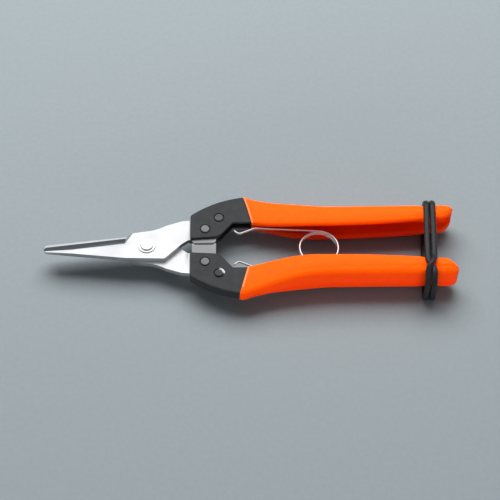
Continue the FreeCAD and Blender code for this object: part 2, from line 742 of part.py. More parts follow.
# ---------------------------------------------------------------- the assembly
pieces = [
    blade("front_blade", 1),
    blade("rear_blade", -1),
    pivot_rivet(),
    pivot_washer("upper_pivot_washer", 1),
    pivot_washer("lower_pivot_washer", -1),
]
for arm, side in (("upper", 1), ("lower", -1)):
    frame = handle_frame(f"{arm}_handle_frame", side)
    pieces += [frame, grip(f"{arm}_grip", side, frame)]
    for place, (x, y) in RIVETS.items():
        pieces.append(handle_rivet(f"{arm}_{place}", x, y * side))
pieces += [return_spring(), lock_loop()]

doc.recompute()
for item in doc.Objects:
    if "Invalid" in item.State or "Error" in item.State:
        raise RuntimeError(f"{item.Label} failed: {item.State}")
for piece in pieces:
    shape = piece.Shape
    if shape.isNull() or not shape.isValid() or not shape.Solids:
        raise RuntimeError(f"{piece.Label} has no valid solid")
    box = shape.BoundBox
    print(f"{piece.Label}: {len(shape.Solids)} solid, {shape.Volume:.1f} mm3, "
          f"x {box.XMin:.2f} {box.XMax:.2f} y {box.YMin:.2f} {box.YMax:.2f} "
          f"z {box.ZMin:.2f} {box.ZMax:.2f}")
for piece in pieces:
    piece.Shape.exportStep(f"parts/{piece.Label}.step")
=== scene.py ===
"""Looks of the floral snips: sheet-metal handles with dipped grips, ground blades,
a bent wire spring and a doubled rubber loop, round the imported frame.

Row frame: +X from the blade tips to the handle ends, +Y to the upper handle, +Z up.
Shapes are worked out in millimetres and turned into metres when a mesh is made. The upper
arm is modelled, and the lower one is its mirror image: side is +1 or -1.
"""

import math

import bmesh
import bpy
import numpy as np
from mathutils import Matrix, Vector


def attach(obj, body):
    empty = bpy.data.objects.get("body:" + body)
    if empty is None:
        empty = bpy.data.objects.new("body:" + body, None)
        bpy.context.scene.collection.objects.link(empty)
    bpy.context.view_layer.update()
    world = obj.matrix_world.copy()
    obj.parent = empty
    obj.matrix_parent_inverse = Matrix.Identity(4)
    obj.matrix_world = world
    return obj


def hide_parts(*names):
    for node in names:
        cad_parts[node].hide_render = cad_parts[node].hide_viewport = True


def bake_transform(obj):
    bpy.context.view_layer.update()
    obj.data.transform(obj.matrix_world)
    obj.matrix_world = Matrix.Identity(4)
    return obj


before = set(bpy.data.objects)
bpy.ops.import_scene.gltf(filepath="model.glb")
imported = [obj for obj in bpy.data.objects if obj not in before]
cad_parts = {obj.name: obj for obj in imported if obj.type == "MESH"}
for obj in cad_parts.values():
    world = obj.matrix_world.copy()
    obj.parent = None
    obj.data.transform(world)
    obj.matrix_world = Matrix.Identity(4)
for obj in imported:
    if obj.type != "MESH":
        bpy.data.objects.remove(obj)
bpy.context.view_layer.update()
MM = 0.001

# ---------------------------------------------------------------- sizes, in millimetres
MID = 9.0            # height of the plane where the blades meet
PIVOT = (-44.5, 0.0)
STEEL = 1.2          # handle sheet
COAT = 1.0           # soft coat on each side of the sheet
CHEEK_HALF = 2.4     # half height of the handle at the cheek
STEEL_HALF = 6.0     # half height of the handle's sheet under the grip
FLARE = (-4.6, 29.0)  # where the sheet grows from the one to the other
SPINE_ROUND = 0.42   # bevel asked for on a blade's spine; from_node says what is left of it
EDGE_ROUND = 0.11    # likewise on a blade's other edges
CHEEK_FRONT = -25.8
CHEEK_REAR = (0.2, -3.0)   # x of the cheek's end, at its inner and its outer line
COAT_FRONT = (0.2, -3.8)   # x of the coat's start, likewise
STAGGER = 0.9        # the upper grip starts this much farther back, the lower one ahead
END_X = 81.4         # where the grip's inner line turns round the end
END_WALL_Y = 15.5    # inner face of the grip's back at its end
FULL_END_X = 83.5    # where the grip's end starts to get lower
END_FALL = (5.1, 1.3)  # the length over which the end gets lower, and by how much
BACK_WALL = STEEL + 2 * COAT
LEAST_END = 0.7      # the coat ends where its end piece is this narrow
LEAST_SHEET = 4.0    # the sheet ends where the grip is this narrow
INNER_BEND = 2.6     # the sheet's bend in the grip, wide enough to stay under the coat's
COAT_SHAPE = {"bend": 3.4, "lip": 1.5, "inner": 1.3, "crown": 0.42}
LOOP_SEAT = (4.0, 0.3)  # half width and depth of the dent that the loop presses in
PALE_LIP = 0.32      # how far back the painted highlight on the grip's front edge reaches
SINK_DEPTH = 0.45    # depth of the countersink round a handle rivet
RIVET_SHANK = 1.5
HANDLE_RIVETS = {"front_rivet": (-19.4, 8.5), "rear_rivet": (-13.4, 14.4)}


# ---------------------------------------------------------------- outlines in plan
def arc(start, end, radius, count=24):
    """Points on the short arc from start to end. A positive radius bulges to the right."""
    start, end = np.array(start, float), np.array(end, float)
    way = end - start
    length = np.linalg.norm(way)
    aside = np.array([way[1], -way[0]]) / length
    depth = math.sqrt(radius * radius - length * length / 4)
    centre = (start + end) / 2 - aside * math.copysign(depth, radius)
    first = math.atan2(*(start - centre)[::-1])
    last = math.atan2(*(end - centre)[::-1])
    turn = (last - first + math.pi) % (2 * math.pi) - math.pi
    angles = first + turn * np.linspace(0, 1, count)
    reach = abs(radius)
    return [(centre[0] + reach * math.cos(a), centre[1] + reach * math.sin(a)) for a in angles]


def rounded(points, radii, count=8):
    """An open run of straight lines with each inner corner rounded by its radius."""
    points = [np.array(p, float) for p in points]
    run = [points[0]]
    for before, corner, after, radius in zip(points, points[1:], points[2:], radii):
        back = (before - corner) / np.linalg.norm(before - corner)
        on = (after - corner) / np.linalg.norm(after - corner)
        half = math.acos(float(np.clip(back @ on, -1, 1))) / 2
        reach = radius / math.tan(half)
        inward = (back + on) / np.linalg.norm(back + on)
        centre = corner + inward * radius / math.sin(half)
        first, last = corner + back * reach - centre, corner + on * reach - centre
        sweep = math.pi - 2 * half
        for step in range(count + 1):
            share = step / count
            blend = (first * math.sin((1 - share) * sweep) + last * math.sin(share * sweep))
            run.append(centre + blend / math.sin(sweep))
    run.append(points[-1])
    return [tuple(p) for p in run]


def at_x(line, x):
    """The line's y at x."""
    xs, ys = zip(*line)
    return float(np.interp(x, xs, ys))


def along(line, count):
    """Points evenly spread along a line."""
    points = np.array(line, float)
    steps = np.linalg.norm(np.diff(points, axis=0), axis=1)
    reach = np.concatenate([[0], np.cumsum(steps)])
    wanted = np.linspace(0, reach[-1], count)
    return [tuple(np.interp(w, reach, points[:, axis]) for axis in range(2)) for w in wanted]


GRIP_INNER = arc((0.2, 11.1), (30.0, 7.6), 120.0) + arc((30.0, 7.6), (END_X, 10.2), 520.0)[1:]
GRIP_END_INNER = arc((END_X, 10.2), (88.6, 15.7), 6.6)
GRIP_END_OUTER = [(END_X, 18.69), (85.5, 18.7)] + arc((85.5, 18.7), (88.6, 15.7), -3.1)[1:]
CHEEK_INNER = rounded(
    [(-25.8, 4.4), (-25.8, 3.6), (-14.6, 4.3), (-12.3, 5.7), (-7.4, 11.6), (0.2, 11.6)],
    [0.7, 4.0, 3.0, 0.9])
CHEEK_OUTER = (rounded([(-25.8, 15.0), (-25.8, 16.2), (-23.5, 17.55)], [0.9])[:-1]
               + arc((-25.2, 16.55), (-3.2, 25.6), -46.0, 60)[3:] + [(-2.4, 25.6)])
GRIP_OUTER = ([(x, y + COAT) for x, y in CHEEK_OUTER[-8:-1]]
              + arc((-2.9, 26.6), (34.6, 18.6), 110.0) + [(86.6, 18.7)])


def steel_half(x):
    """Half the height of the handle's sheet: two arcs between the cheek and the grip."""
    share = (x - FLARE[0]) / (FLARE[1] - FLARE[0])
    share = min(max(share, 0.0), 1.0)
    smooth = 2 * share * share if share < 0.5 else 1 - 2 * (1 - share) ** 2
    return CHEEK_HALF + (STEEL_HALF - CHEEK_HALF) * smooth


# ---------------------------------------------------------------- channel sections
def quarter(centre, radius, start, stop, count):
    """Points on an arc from one angle, in degrees, up to but not at another."""
    angles = np.radians(np.linspace(start, stop, count, endpoint=False))
    return [(centre[0] + radius * math.cos(a), centre[1] + radius * math.sin(a)) for a in angles]


def straight(start, end, count):
    """Points on a straight line from start up to but not at end."""
    shares = np.linspace(0, 1, count, endpoint=False)
    return [(start[0] + (end[0] - start[0]) * k, start[1] + (end[1] - start[1]) * k)
            for k in shares]


def channel(width, depth, half, wall, bend, lip, inner, crown):
    """The C of a channel as (distance from the free edge, height) points, closed.
    width is across the whole channel and depth how far the hollow goes in. crown is how much
    the outer faces fall away from flat at their edges."""
    bend = min(bend, width * 0.48, half * 0.9)
    lip = min(lip, wall * 0.499, width * 0.3)
    depth = max(depth, lip + 0.02 + width * 0.04)
    inner = min(inner, (depth - lip) * 0.8, (half - wall) * 0.5)
    closing = min(max((width - 0.6) / 2.4, 0.05), 1.0)   # the hollow ends as the grip narrows
    under = (half - wall) * closing
    skin = straight((width, 0), (width, half - bend), 7)
    skin += quarter((width - bend, half - bend), bend, 0, 90, 9)
    skin += straight((width - bend, half), (lip, half), 12)
    skin += quarter((lip, half - lip), lip, 90, 180, 6)
    middle, reach = (width - bend + lip) / 2, max((width - bend - lip) / 2, 0.01)
    top = []
    for s, z in skin:
        aside = min(abs(s - middle) / reach, 1.0)
        high = min(z / (half - bend), 1.0)
        outer = min(s / (width - bend), 1.0)
        top.append((s - crown * high ** 2 * outer ** 2, z - crown * aside ** 2 * high ** 2))
    top += straight((0, half - lip - crown), (0, under + lip), 1)
    top += quarter((lip, under + lip), lip, 180, 270, 6)
    top += straight((lip, under), (depth - inner, under), 7)
    top += quarter((depth - inner, under - inner), inner, 90, 0, 4)
    top += straight((depth, under - inner), (depth, 0), 4)
    bottom = [(s, -z) for s, z in top[1:]] + [(depth, 0)]
    return top + bottom[::-1]


def section(near, far, half_at, depth_y, wall, bend, lip, inner, crown=0.0):
    """A ring of 3-D points in the upright plane over the line from near to far in plan.
    depth_y is the y of the hollow's floor, and half_at gives the half height at an x."""
    near, far = np.array(near, float), np.array(far, float)
    width = float(np.linalg.norm(far - near))
    way = (far - near) / width
    depth = (depth_y - near[1]) / max(way[1], 0.2)
    half = half_at((near[0] + far[0]) / 2)
    ring = []
    for s, z in channel(width, depth, half, wall, bend, lip, inner, crown):
        place = near + way * s
        ring.append((place[0], place[1], MID + z * half_at(place[0]) / half))
    return np.array(ring)


def grip_stations(side):
    """Pairs of plan points, inner and outer, from the grip's front to its end. side is 0 for
    the sheet inside, which is the same in both handles."""
    near_start, far_start = (x + STAGGER * side for x in COAT_FRONT)
    pairs = []
    shares = np.concatenate([np.linspace(0, 0.06, 8, endpoint=False), np.linspace(0.06, 1, 84)])
    for share in shares:
        near_x = near_start + (END_X - near_start) * share
        far_x = far_start + (END_X - far_start) * share
        pairs.append(((near_x, at_x(GRIP_INNER, near_x)), (far_x, at_x(GRIP_OUTER, far_x))))
    count = 34
    inner, outer = along(GRIP_END_INNER, count), along(GRIP_END_OUTER, count)
    for near, far in zip(inner[1:], outer[1:]):
        if math.dist(near, far) > LEAST_END:
            pairs.append((near, far))
    return pairs


def sheet_half(x):
    """Half the height of the sheet inside the grip, whose end is rounded off."""
    past = max(0.0, (x - FULL_END_X) / END_FALL[0])
    return steel_half(x) - END_FALL[1] * past ** 2


def coat_half(x):
    """Half the grip's height, with the shallow dent that the loop presses into it."""
    dent = max(0.0, 1 - ((x - LOOP_X) / LOOP_SEAT[0]) ** 6)
    return sheet_half(x) + COAT - LOOP_SEAT[1] * dent


def coat_section(pair):
    """The coat's section at a station."""
    near, far = pair
    floor = far[1] - BACK_WALL
    if far[0] > END_X:
        floor = min(floor, END_WALL_Y)
    return section(near, far, coat_half, floor, BACK_WALL, **COAT_SHAPE)


def sheet_section(pair):
    """The sheet's section inside the coat at the same station. Its edge lies 0.5 mm deep in
    front and 1 mm deep from x = 30 on, and its bend widens just behind the coat's start."""
    near, far = np.array(pair[0], float), np.array(pair[1], float)
    way = (far - near) / np.linalg.norm(far - near)
    edge = 0.5 + 0.5 * min(max(near[0] / 30.0, 0.0), 1.0)
    near, far = near + way * edge, far - way * COAT
    share = min(max((near[0] + 1.0) / 4.0, 0.0), 1.0)
    bend = bend_at(near[0]) * (1 - share) + INNER_BEND * share
    return section(near, far, sheet_half, far[1] - STEEL, STEEL, bend, 0.4, 0.5)


def bend_at(x):
    """The outer radius of the sheet's bend, larger where the channel is taller."""
    return 1.25 + 0.2 * (steel_half(x) - CHEEK_HALF)


# ---------------------------------------------------------------- meshes
def new_piece(name, points, faces, side=1):
    """A mesh object from points in millimetres. The lower arm's is mirrored."""
    mesh = bpy.data.meshes.new(name)
    points = [(p[0] * MM, p[1] * side * MM, p[2] * MM) for p in points]
    if side < 0:
        faces = [tuple(reversed(f)) for f in faces]
    mesh.from_pydata(points, [], faces)
    mesh.validate()
    piece = bpy.data.objects.new(name, mesh)
    bpy.context.scene.collection.objects.link(piece)
    return piece


def strips(rings, first_ring=0):
    """Quads between each ring and the next, when first_ring rings come before these."""
    count = len(rings[0])
    faces = []
    for row in range(len(rings) - 1):
        low, high = (first_ring + row) * count, (first_ring + row + 1) * count
        for k in range(count):
            after = (k + 1) % count
            faces.append((low + k, low + after, high + after, high + k))
    return faces


def tidy(piece, sharp_degrees=40.0):
    """Outward normals, smooth faces, and sharp edges only where the surface really turns."""
    work = bmesh.new()
    work.from_mesh(piece.data)
    bmesh.ops.remove_doubles(work, verts=work.verts, dist=1e-7)
    wide = [f for f in work.faces if len(f.verts) > 8]
    bmesh.ops.triangulate(work, faces=wide, ngon_method="EAR_CLIP")
    bmesh.ops.recalc_face_normals(work, faces=work.faces)
    limit = math.radians(sharp_degrees)
    for face in work.faces:
        face.smooth = True
    for edge in work.edges:
        edge.smooth = not (edge.is_manifold and edge.calc_face_angle(0) > limit)
    work.to_mesh(piece.data)
    work.free()
    return piece


def lofted(name, rings, side):
    """A closed skin over a row of rings, capped at both ends."""
    count = len(rings[0])
    faces = strips(rings)
    faces.append(tuple(range(count))[::-1])
    faces.append(tuple(range((len(rings) - 1) * count, len(rings) * count)))
    points = [p for ring in rings for p in ring]
    return tidy(new_piece(name, points, faces, side))


def handle_frame(name, side):
    """The pressed sheet: the cheek in front, then the channel inside the grip."""
    stations = [0, 0.004, 0.01, 0.02, 0.032] + list(np.linspace(0.05, 1.0, 96))
    rings = []
    for share in stations:
        near_x, far_x = (CHEEK_FRONT + (x - CHEEK_FRONT) * share for x in CHEEK_REAR)
        near = (near_x, at_x(CHEEK_INNER, near_x))
        far = (far_x, at_x(CHEEK_OUTER, far_x))
        rings.append(section(near, far, steel_half, far[1] - STEEL, STEEL,
                             bend_at(near_x), 0.3, 0.35))
    pairs = grip_stations(0)
    inside = [sheet_section(p) for p in pairs[3:] if math.dist(*p) > LEAST_SHEET]
    front = rings[0].copy()
    middle = front.mean(axis=0)
    rings[0] = front + (middle - front) * [0, 0.012, 0.06]   # draws the front edge in a little
    rings += inside[::2]
    return lofted(name, rings, side)


def soft_grip(name, side):
    """The dipped coat: its skin, its thick front edge and the hollow that holds the sheet."""
    pairs = grip_stations(side)
    skin = [coat_section(p) for p in pairs]
    sheet = [sheet_section(p) for p in pairs if math.dist(*p) > LEAST_SHEET]
    lip = []   # share of the way from the sheet to the skin, and how far it bulges ahead
    for share, ahead in ((0.0, 0.0), (0.3, 0.16), (0.62, 0.2), (0.9, 0.08)):
        ring = sheet[0] + (skin[0] - sheet[0]) * share
        ring = ring - np.array([ahead, 0, 0])
        lip.append(ring)
    bead = [skin[1] + (skin[1] - sheet[1]) * 0.06, skin[2] + (skin[2] - sheet[2]) * 0.09,
            skin[3] + (skin[3] - sheet[3]) * 0.03]
    rings = sheet[::-1] + lip[1:] + bead + skin[4:]
    return lofted(name, rings, side)


def lathe(name, profile, centre, side=1, turns=72):
    """A turned piece. profile holds (radius, height above the blades' plane) from axis to axis."""
    points, faces = [], []
    inner = [p for p in profile if p[0] > 1e-6]
    for k in range(turns):
        angle = 2 * math.pi * k / turns
        for radius, height in inner:
            points.append((centre[0] + radius * math.cos(angle),
                           centre[1] * side + radius * math.sin(angle), MID + height))
    count = len(inner)
    for k in range(turns):
        after = (k + 1) % turns
        for row in range(count - 1):
            faces.append((k * count + row, after * count + row,
                          after * count + row + 1, k * count + row + 1))
    on_axis = profile[0][0] <= 1e-6
    if on_axis:
        for row, height in ((0, profile[0][1]), (count - 1, profile[-1][1])):
            points.append((centre[0], centre[1] * side, MID + height))
            tip = len(points) - 1
            for k in range(turns):
                faces.append((k * count + row, ((k + 1) % turns) * count + row, tip))
    else:
        for k in range(turns):
            after = (k + 1) % turns
            faces.append((k * count + count - 1, after * count + count - 1,
                          after * count, k * count))
    return tidy(new_piece(name, points, faces), 50.0)


def from_node(name, node, spine):
    """A copy of a CAD solid with its flat faces made whole. spine picks the edges of its spine.
    Known fault: the clamp leaves the spine a small part of its rounding and an edge of almost
    no length, which then clamps the second bevel to almost nothing and leaves slivers. The
    soft look of the edges comes from the smooth normals."""
    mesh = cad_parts[node].data.copy()
    mesh.name = name
    piece = bpy.data.objects.new(name, mesh)
    bpy.context.scene.collection.objects.link(piece)
    work = bmesh.new()
    work.from_mesh(mesh)
    bmesh.ops.remove_doubles(work, verts=work.verts, dist=2e-6)
    bmesh.ops.dissolve_limit(work, angle_limit=math.radians(0.6), verts=work.verts,
                             edges=work.edges, use_dissolve_boundaries=False)
    chosen = [e for e in work.edges if e.is_manifold and spine(e)
              and e.calc_face_angle(0) > math.radians(60)]
    bmesh.ops.bevel(work, geom=chosen, offset=SPINE_ROUND * MM, offset_type="OFFSET",
                    segments=3, profile=0.5, affect="EDGES", clamp_overlap=True)
    sharp = [e for e in work.edges if e.is_manifold and e.calc_face_angle(0) > math.radians(32)]
    bmesh.ops.bevel(work, geom=sharp, offset=EDGE_ROUND * MM, offset_type="OFFSET", segments=2,
                    profile=0.6, affect="EDGES", clamp_overlap=True)
    for face in work.faces:
        face.smooth = True
    for edge in work.edges:
        edge.smooth = True
    work.to_mesh(mesh)
    work.free()
    even = piece.modifiers.new("even_normals", "WEIGHTED_NORMAL")
    even.mode = "FACE_AREA"
    even.weight = 90
    even.keep_sharp = True
    return piece


def tube(path, radius, sides, closed=False):
    """The rings of a round wire along a path, tapered at the ends unless it is closed."""
    path = [Vector(p) for p in path]
    count = len(path)
    tangents = []
    for k in range(count):
        before = path[k - 1] if (k or closed) else path[k]
        after = path[(k + 1) % count] if (k + 1 < count or closed) else path[k]
        tangents.append((after - before).normalized())
    across = Vector((0, 0, 1))
    rings = []
    for k, (point, ahead) in enumerate(zip(path, tangents)):
        across = (across - ahead * across.dot(ahead)).normalized()
        other = ahead.cross(across)
        rings.append((point, across.copy(), other, radius))
    if not closed:
        # Known fault: once three rings are added in front, rings[count - 1] is the fourth from
        # the end, so the far taper starts inside the wire and leaves that end hollow.
        for end, towards in ((0, -1), (count - 1, 1)):
            point, a, b, r = rings[end]
            extra = [(point + tangents[end] * towards * radius * s, a, b, radius * c)
                     for s, c in ((0.35, 0.93), (0.62, 0.74), (0.8, 0.45))]
            rings = extra[::-1] + rings if end == 0 else rings + extra
    angles = [2 * math.pi * step / sides for step in range(sides)]
    return [np.array([tuple(point + a * r * math.cos(t) + b * r * math.sin(t)) for t in angles])
            for point, a, b, r in rings]


# ---------------------------------------------------------------- spring
COIL_X, COIL_R, PITCH, TURNS, WIRE = 29.9, 8.35, 1.1, 2.5, 0.5
LEG, HOOK, WIRE_END = (2.4, 10.0), (-4.9, 6.7), (-6.8, 8.4)
LEG_HIGH = 0.55      # how far the end of a leg lies above or below the blades' plane
DROOP = 2.2          # angle by which the coil hangs below the hooks


def coil_path():
    """The coil's middle line, from the lower leg to the upper one."""
    away = (LEG[0] - COIL_X, LEG[1])
    touch = math.atan2(away[1], away[0]) - math.acos(COIL_R / math.hypot(*away))
    turned = 2 * math.pi * TURNS - (math.pi - 2 * touch)
    rise = PITCH * turned / (2 * math.pi)
    coil = []
    steps = 190
    for k in range(steps + 1):
        share = k / steps
        angle = -touch + turned * share
        coil.append((COIL_X + COIL_R * math.cos(angle), COIL_R * math.sin(angle),
                     MID + rise * (share - 0.5)))
    return coil


def bent(points, radii, step=0.7):
    """Straight runs with round bends between 3-D points, closely sampled."""
    points = [Vector(p) for p in points]
    run = []

    def straight_to(start, end):
        count = max(2, int((end - start).length / step))
        run.extend(start.lerp(end, k / count) for k in range(count))

    start = points[0]
    for before, corner, after, radius in zip(points, points[1:], points[2:], radii):
        back, on = (before - corner).normalized(), (after - corner).normalized()
        half = back.angle(on) / 2
        reach = radius / math.tan(half)
        inward = (back + on).normalized()
        centre = corner + inward * (radius / math.sin(half))
        first, last = corner + back * reach, corner + on * reach
        straight_to(start, first)
        sweep = math.pi - 2 * half
        a, b = first - centre, last - centre
        for k in range(8):
            share = k / 8
            blend = a * math.sin((1 - share) * sweep) + b * math.sin(share * sweep)
            run.append(centre + blend / math.sin(sweep))
        start = last
    straight_to(start, points[-1])
    run.append(points[-1])
    return run


def spring_pieces():
    """The coil on the pivot's body, and a leg with its hook for each arm."""
    coil = coil_path()

    def leg(side):
        start = Vector(coil[-1] if side > 0 else coil[0])
        corner = Vector((LEG[0], side * LEG[1], MID + side * LEG_HIGH))
        hook = Vector((HOOK[0], side * HOOK[1], corner.z))
        finish = Vector((WIRE_END[0], side * WIRE_END[1], corner.z))
        return bent([start, corner, hook, finish], (3.0, 2.0))

    lower, upper = leg(-1)[::-1], leg(1)
    path = lower[:-1] + [Vector(p) for p in coil] + upper[1:]
    hinge = Vector((HOOK[0], 0, MID))
    hang = Matrix.Rotation(math.radians(DROOP), 3, "Y")
    path = [hinge + hang @ (p - hinge) for p in path]
    rings = tube(path, WIRE, 18)
    ends = 3   # rings that tube adds in front
    cuts = (ends + len(lower) - 1, ends + len(lower) - 1 + len(coil) - 1)
    made = []
    for name, part in (("spring_lower_leg", rings[:cuts[0] + 1]),
                       ("spring_coil", rings[cuts[0]:cuts[1] + 1]),
                       ("spring_upper_leg", rings[cuts[1]:])):
        made.append(lofted(name, part, 1))
    lower_leg, middle, upper_leg = made
    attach(middle, "pivot")
    for piece, body, side, touching in ((lower_leg, "lower_arm", -1, coil[0]),
                                        (upper_leg, "upper_arm", 1, coil[-1])):
        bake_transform(piece)
    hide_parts("return_spring")
    return made


# ---------------------------------------------------------------- rubber loop
LOOP_X, LOOP_LEAN = 77.4, 0.05          # the loop's place, and how it leans across the grips
STRAND = (1.32, 0.9)                    # half the width and half the thickness of a strand
LOOP_BOX = (-23.2, 19.66, 1.2, 16.68)   # lowest and highest y and z of a strand's middle
LOOP_ROUND = (5.6, 2.0, 4.2, 4.4)       # its corner radii, from the top of the lower grip
CROSSING = (9.5, 20.0)                  # where one strand passes over the other, from y = 0
CROSS_HIGH = 1.45


def loop_path():
    """The middle of the loop, a closed line that goes twice round the grips, and the index
    of each turn's points where it passes between the grips."""
    low, high, under, top = LOOP_BOX
    once = rounded([(0, top), (low, top), (low, under), (high, under), (high, top), (0, top)],
                   LOOP_ROUND, 12)
    steps = 160
    line = along(once, steps + 1)[:-1]
    perimeter = sum(math.dist(line[k - 1], line[k]) for k in range(steps))
    below = [k for k in range(steps // 4, steps) if line[k][1] <= MID]
    halfway = min(below, key=lambda k: abs(line[k][0]))
    path = []
    for turn in (1, -1):
        for k, (y, z) in enumerate(line):
            ahead, behind = line[(k + 1) % steps], line[k - 1]
            way = math.atan2(ahead[1] - behind[1], ahead[0] - behind[0])
            share = (perimeter * k / steps - CROSSING[0]) / (CROSSING[1] - CROSSING[0])
            share = min(max(share, 0.0), 1.0)
            swap = math.pi * share * share * (3 - 2 * share)
            lift = CROSS_HIGH * math.sin(swap) if turn > 0 else 0.0
            wander = 0.09 * math.sin(9.0 * k / steps + turn)
            path.append((LOOP_X + LOOP_LEAN * y + turn * (STRAND[0] + 0.02) * math.cos(swap) + wander,
                         y + math.sin(way) * lift, z - math.cos(way) * lift))
    return path, steps, halfway


def lock_loop():
    """The doubled loop as an upper and a lower half, which meet between the grips."""
    path, steps, halfway = loop_path()
    sides = 20
    rings = tube(path, STRAND[1], sides, closed=True)
    for middle, ring in zip(path, rings):
        ring[:, 0] = middle[0] + (ring[:, 0] - middle[0]) * STRAND[0] / STRAND[1]
    rings.append(rings[0])
    made = []
    for name, body, side, first, last in (
            ("loop_lower_half", "lower_arm", -1, 0, halfway),
            ("loop_upper_half", "upper_arm", 1, halfway, steps)):
        points, faces = [], []
        for turn in (0, 1):
            part = rings[turn * steps + first:turn * steps + last + 1]
            start = len(points) // sides
            faces += strips(part, start)
            faces.append(tuple(start * sides + k for k in range(sides))[::-1])
            points += [p for ring in part for p in ring]
            faces.append(tuple(len(points) - sides + k for k in range(sides)))
        piece = tidy(new_piece(name, points, faces))
        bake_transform(piece)
        made.append(piece)
    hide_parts("lock_loop")
    return made


# ---------------------------------------------------------------- materials
class Shade:
    """A material made of procedural nodes, in short calls."""

    def __init__(self, name, color, metallic=0.0, roughness=0.4, **sockets):
        self.material = bpy.data.materials.new(name)
        self.material.use_nodes = True
        self.tree = self.material.node_tree
        self.shader = self.tree.nodes["Principled BSDF"]
        self.set("Base Color", (*color, 1.0))
        self.set("Metallic", metallic)
        self.set("Roughness", roughness)
        for socket, value in sockets.items():
            self.set(socket.replace("_", " "), value)
        self.place = self.node("ShaderNodeTexCoord").outputs["Object"]

    def set(self, socket, value):
        self.shader.inputs[socket].default_value = value

    def node(self, kind, **settings):
        made = self.tree.nodes.new(kind)
        for name, value in settings.items():
            setattr(made, name, value)
        return made

    def join(self, output, socket):
        self.tree.links.new(output, socket)

    def mapped(self, scale=(1, 1, 1), shift=(0, 0, 0)):
        made = self.node("ShaderNodeMapping")
        made.inputs["Scale"].default_value = scale
        made.inputs["Location"].default_value = shift
        self.join(self.place, made.inputs["Vector"])
        return made.outputs["Vector"]

    def noise(self, vector, scale, detail=3.0, rough=0.55):
        made = self.node("ShaderNodeTexNoise")
        made.inputs["Scale"].default_value = scale
        made.inputs["Detail"].default_value = detail
        made.inputs["Roughness"].default_value = rough
        self.join(vector, made.inputs["Vector"])
        return made.outputs["Fac"]

    def span(self, value, low, high, to_low, to_high):
        """value, stretched from low..high to to_low..to_high."""
        made = self.node("ShaderNodeMapRange")
        for name, number in (("From Min", low), ("From Max", high),
                             ("To Min", to_low), ("To Max", to_high)):
            made.inputs[name].default_value = number
        self.join(value, made.inputs["Value"])
        return made.outputs["Result"]

    def math(self, operation, first, second):
        made = self.node("ShaderNodeMath", operation=operation)
        for index, value in enumerate((first, second)):
            if isinstance(value, (int, float)):
                made.inputs[index].default_value = value
            else:
                self.join(value, made.inputs[index])
        return made.outputs["Value"]

    def mix(self, factor, first, second):
        made = self.node("ShaderNodeMix", data_type="RGBA")
        self.join(factor, made.inputs["Factor"])
        for socket, color in ((made.inputs[6], first), (made.inputs[7], second)):
            if isinstance(color, tuple):
                socket.default_value = (*color, 1.0)
            else:
                self.join(color, socket)
        return made.outputs[2]

    def bump(self, height, strength, distance):
        made = self.node("ShaderNodeBump")
        made.inputs["Strength"].default_value = strength
        made.inputs["Distance"].default_value = distance
        self.join(height, made.inputs["Height"])
        before = self.shader.inputs["Normal"].links
        if before:
            self.join(before[0].from_socket, made.inputs["Normal"])
        self.join(made.outputs["Normal"], self.shader.inputs["Normal"])


def satin_steel(name, color, rough, stretch, strength=0.25, darker_boxes=()):
    """Sheet steel with a fine grain along one direction and faint handling marks. darker_boxes holds
    (lowest corner, highest corner, tone) boxes, in millimetres, where the colour is darker and the
    surface rougher."""
    shade = Shade(name, color, 1.0, rough)
    grain = shade.noise(shade.mapped(stretch), 1.0, 4.0, 0.6)
    cloud = shade.noise(shade.mapped((90, 90, 90)), 1.0, 3.0)
    spread = shade.math("ADD", shade.span(grain, 0.3, 0.7, rough - 0.05, rough + 0.05),
                        shade.span(cloud, 0.3, 0.7, -0.03, 0.05))
    darker = tuple(c * 0.93 for c in color)
    tint = shade.mix(shade.span(cloud, 0.35, 0.75, 0, 1), color, darker)
    place = shade.node("ShaderNodeSeparateXYZ")
    shade.join(shade.place, place.inputs["Vector"])
    for low, high, tone in darker_boxes:
        inside = 1.0
        for axis, least, most in zip("XYZ", low, high):
            value = place.outputs[axis]
            soft = 0.25
            after = shade.span(value, (least - soft) * MM, (least + soft) * MM, 0, 1)
            before = shade.span(value, (most - soft) * MM, (most + soft) * MM, 1, 0)
            inside = shade.math("MULTIPLY", inside, shade.math("MULTIPLY", after, before))
        tint = shade.mix(inside, tint, tuple(c * tone for c in color))
        spread = shade.math("ADD", spread, shade.math("MULTIPLY", inside, 0.08))
    shade.join(spread, shade.shader.inputs["Roughness"])
    shade.join(tint, shade.shader.inputs["Base Color"])
    shade.bump(grain, strength, 0.00002)
    return shade


def turned_steel(name, color, rough, centre):
    """Steel with fine rings about an upright axis."""
    shade = Shade(name, color, 1.0, rough)
    vector = shade.mapped(shift=(-centre[0] * MM, -centre[1] * MM, 0))
    rings = shade.node("ShaderNodeTexWave", wave_type="RINGS", rings_direction="Z")
    rings.inputs["Scale"].default_value = 700
    rings.inputs["Distortion"].default_value = 1.2
    rings.inputs["Detail"].default_value = 2.0
    rings.inputs["Detail Scale"].default_value = 2.0
    shade.join(vector, rings.inputs["Vector"])
    shade.bump(rings.outputs["Fac"], 0.04, 0.00003)
    pits = shade.noise(shade.mapped(), 900, 3.0)
    shade.join(shade.span(pits, 0.35, 0.7, rough - 0.05, rough + 0.08),
               shade.shader.inputs["Roughness"])
    return shade


